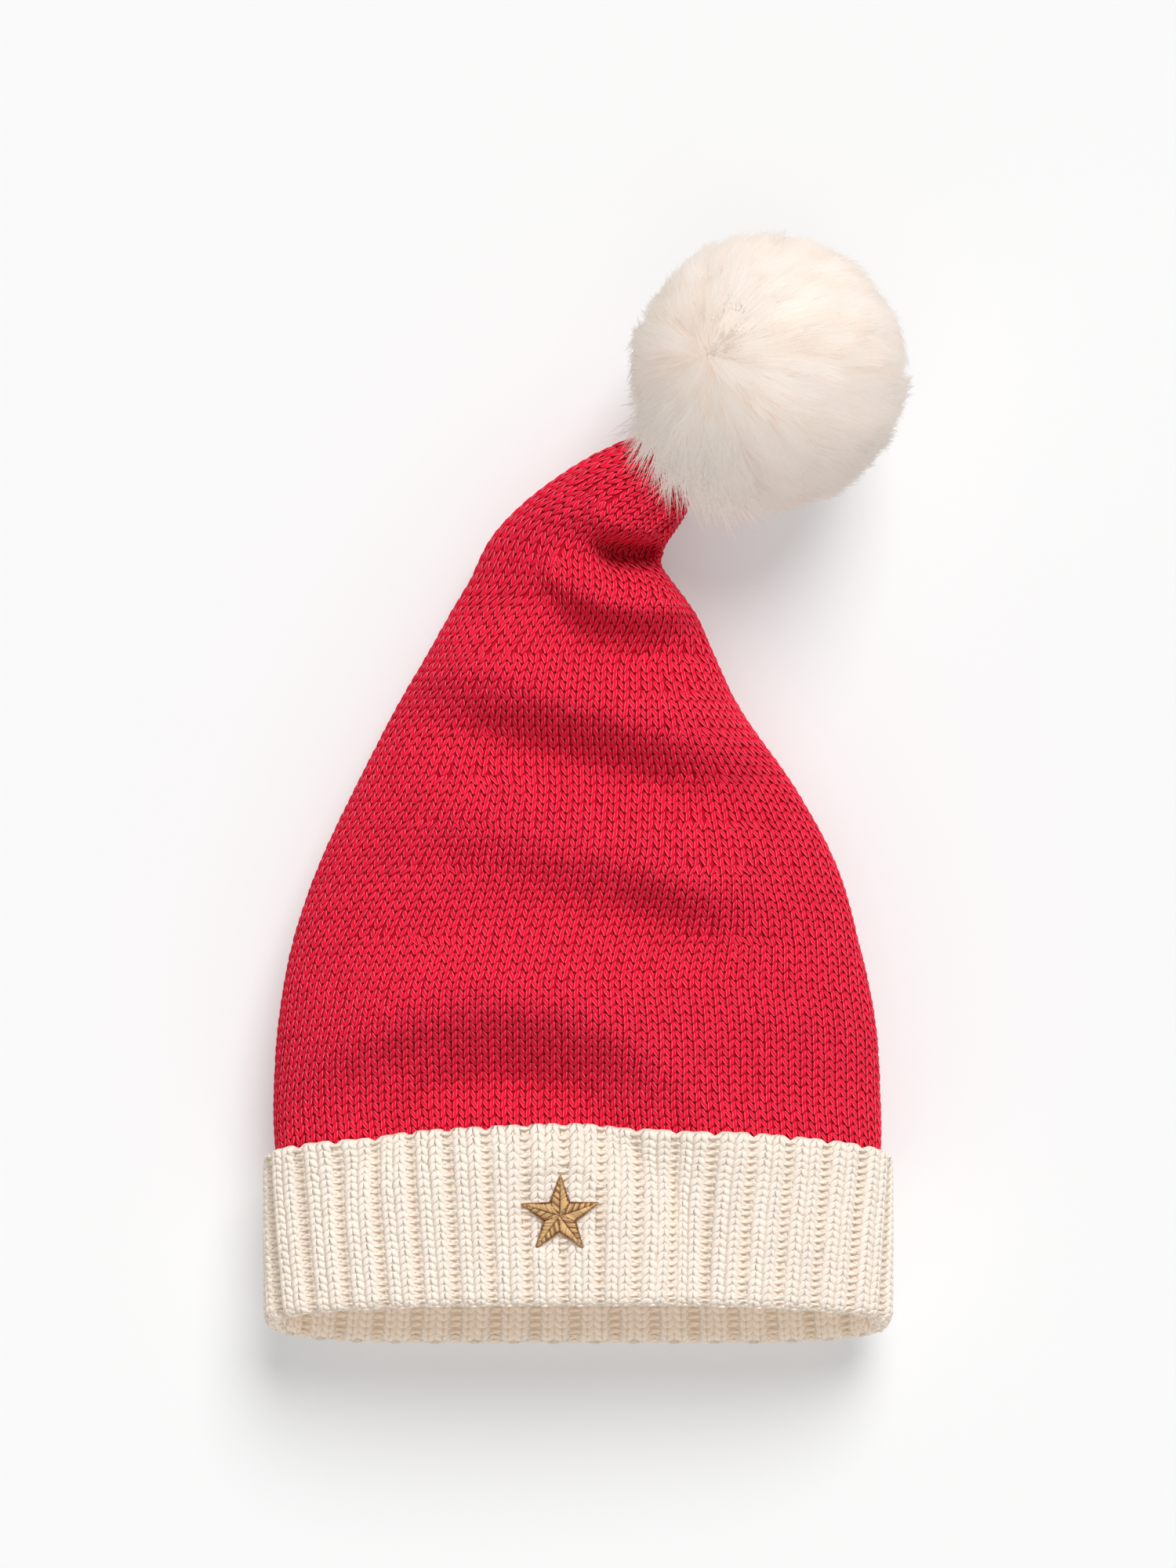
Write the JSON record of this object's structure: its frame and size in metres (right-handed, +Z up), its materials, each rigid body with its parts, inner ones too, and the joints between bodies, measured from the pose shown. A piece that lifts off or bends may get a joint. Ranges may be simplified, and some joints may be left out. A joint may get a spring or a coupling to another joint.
{
  "type": "santa hat",
  "caption": "Knitted santa hat lying flat: red stocking crown with a bent tip, turned-up cream rib cuff with an open mouth, fur pompom and a small embroidered star.",
  "frame": {"origin": "middle of the hat's bounding box, on the surface that it lies on", "axes": "+Y from the mouth towards the tip, +X across the hat towards the side that the tip bends to, +Z up from the surface that it lies on"},
  "size_m": [0.1948, 0.3384, 0.0839],
  "materials": {
    "red_knit": "matt stockinette knit",
    "cream_rib": "matt rib knit",
    "cream_fur": "soft fake fur",
    "embroidery_thread": "satin stitch thread"
  },
  "bodies": {
    "root": {"red_knit_crown": "red_knit", "rib_knit_cuff": "cream_rib", "fur_pompom": "cream_fur", "embroidered_star": "embroidery_thread"}
  },
  "joints": []
}
